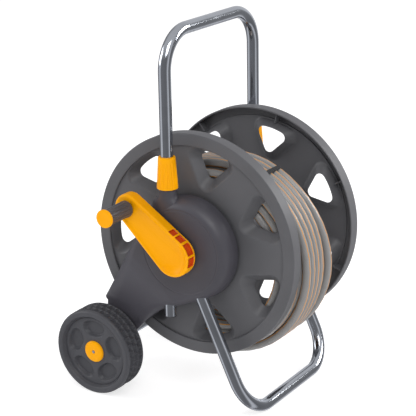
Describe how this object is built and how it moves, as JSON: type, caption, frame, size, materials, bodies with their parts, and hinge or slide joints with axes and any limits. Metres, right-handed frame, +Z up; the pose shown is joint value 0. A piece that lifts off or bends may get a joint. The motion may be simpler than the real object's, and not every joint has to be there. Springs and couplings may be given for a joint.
{
  "type": "garden hose reel cart",
  "caption": "Wheeled cart with a crank-turned reel of garden hose between two side mouldings, a sliding tube handle and a bent tube foot.",
  "frame": {"origin": "on the ground, centred under the cart's box in plan", "axes": "+Z up; X along the reel's axis with the crank on -X; the foot is on -Y and the wheels on +Y"},
  "size_m": [0.443, 0.4631, 0.678],
  "materials": {
    "reel_plastic": "moulded mid grey with a fine grain",
    "shell_plastic": "moulded dark grey with a fine grain",
    "dark_plastic": "moulded dark grey",
    "black_plastic": "plain black",
    "yellow_plastic": "glossy orange yellow",
    "grip_plastic": "ribbed dark grey",
    "wheel_plastic": "moulded dark grey",
    "bearing_plastic": "natural white",
    "tube_steel": "bright zinc",
    "screw_steel": "zinc plated",
    "seal_rubber": "black",
    "strap": "black woven",
    "hose": "light grey with thin orange lines along it"
  },
  "bodies": {
    "frame": {"shell_left": "shell_plastic", "shell_right": "shell_plastic", "cover_left": "dark_plastic", "cover_right": "dark_plastic", "cover_screws": "screw_steel", "bush_left": "bearing_plastic", "bush_right": "bearing_plastic", "collet_left": "bearing_plastic", "collet_right": "bearing_plastic", "foot_tube": "tube_steel", "foot_screws": "screw_steel", "axle_tube": "tube_steel", "axle_plugs": "bearing_plastic", "axle_screws": "screw_steel", "inlet_body": "yellow_plastic", "inlet_seals": "seal_rubber", "inlet_screws": "screw_steel"},
    "handle": {"handle_tube": "tube_steel", "handle_plugs": "dark_plastic"},
    "collar_left": {"collar_left": "yellow_plastic"},
    "collar_right": {"collar_right": "yellow_plastic"},
    "reel": {"flange_left": "reel_plastic", "flange_right": "reel_plastic", "drum": "reel_plastic", "drum_screws": "screw_steel", "spindle_left": "dark_plastic", "spindle_right": "dark_plastic", "crank_bolt": "screw_steel", "crank_arm": "yellow_plastic", "grip_pin": "screw_steel", "grip_clip": "screw_steel", "feed_pipe": "black_plastic", "drum_outlet": "dark_plastic", "outlet_nut": "yellow_plastic", "hose_tail": "hose", "hose_coil": "hose", "hose_end": "hose", "hose_connector": "yellow_plastic", "hose_strap": "strap"},
    "grip": {"grip_sleeve": "grip_plastic", "grip_cap": "yellow_plastic"},
    "wheel_left": {"wheel_left": "wheel_plastic", "hub_cap_left": "yellow_plastic"},
    "wheel_right": {"wheel_right": "wheel_plastic", "hub_cap_right": "yellow_plastic"}
  },
  "joints": [
    {"name": "handle_slide", "type": "slide", "parent": "frame", "child": "handle", "axis": [0, 0, 1], "range_m": [-0.12, 0]},
    {"name": "collar_left_turn", "type": "hinge", "parent": "frame", "child": "collar_left", "pos_m": [-0.113, 0.0035, 0.43], "axis": [0, 0, 1], "range_deg": [-90, 0]},
    {"name": "collar_right_turn", "type": "hinge", "parent": "frame", "child": "collar_right", "pos_m": [0.174, 0.0035, 0.43], "axis": [0, 0, 1], "range_deg": [0, 90]},
    {"name": "reel_spin", "type": "hinge", "parent": "frame", "child": "reel", "pos_m": [0.0305, -0.0285, 0.295], "axis": [1, 0, 0], "continuous": true},
    {"name": "grip_spin", "type": "hinge", "parent": "reel", "child": "grip", "pos_m": [-0.1895, 0.06036, 0.36799], "axis": [1, 0, 0], "continuous": true},
    {"name": "wheel_left_spin", "type": "hinge", "parent": "frame", "child": "wheel_left", "pos_m": [-0.1315, 0.1485, 0.08], "axis": [1, 0, 0], "continuous": true},
    {"name": "wheel_right_spin", "type": "hinge", "parent": "frame", "child": "wheel_right", "pos_m": [0.1925, 0.1485, 0.08], "axis": [1, 0, 0], "continuous": true}
  ]
}
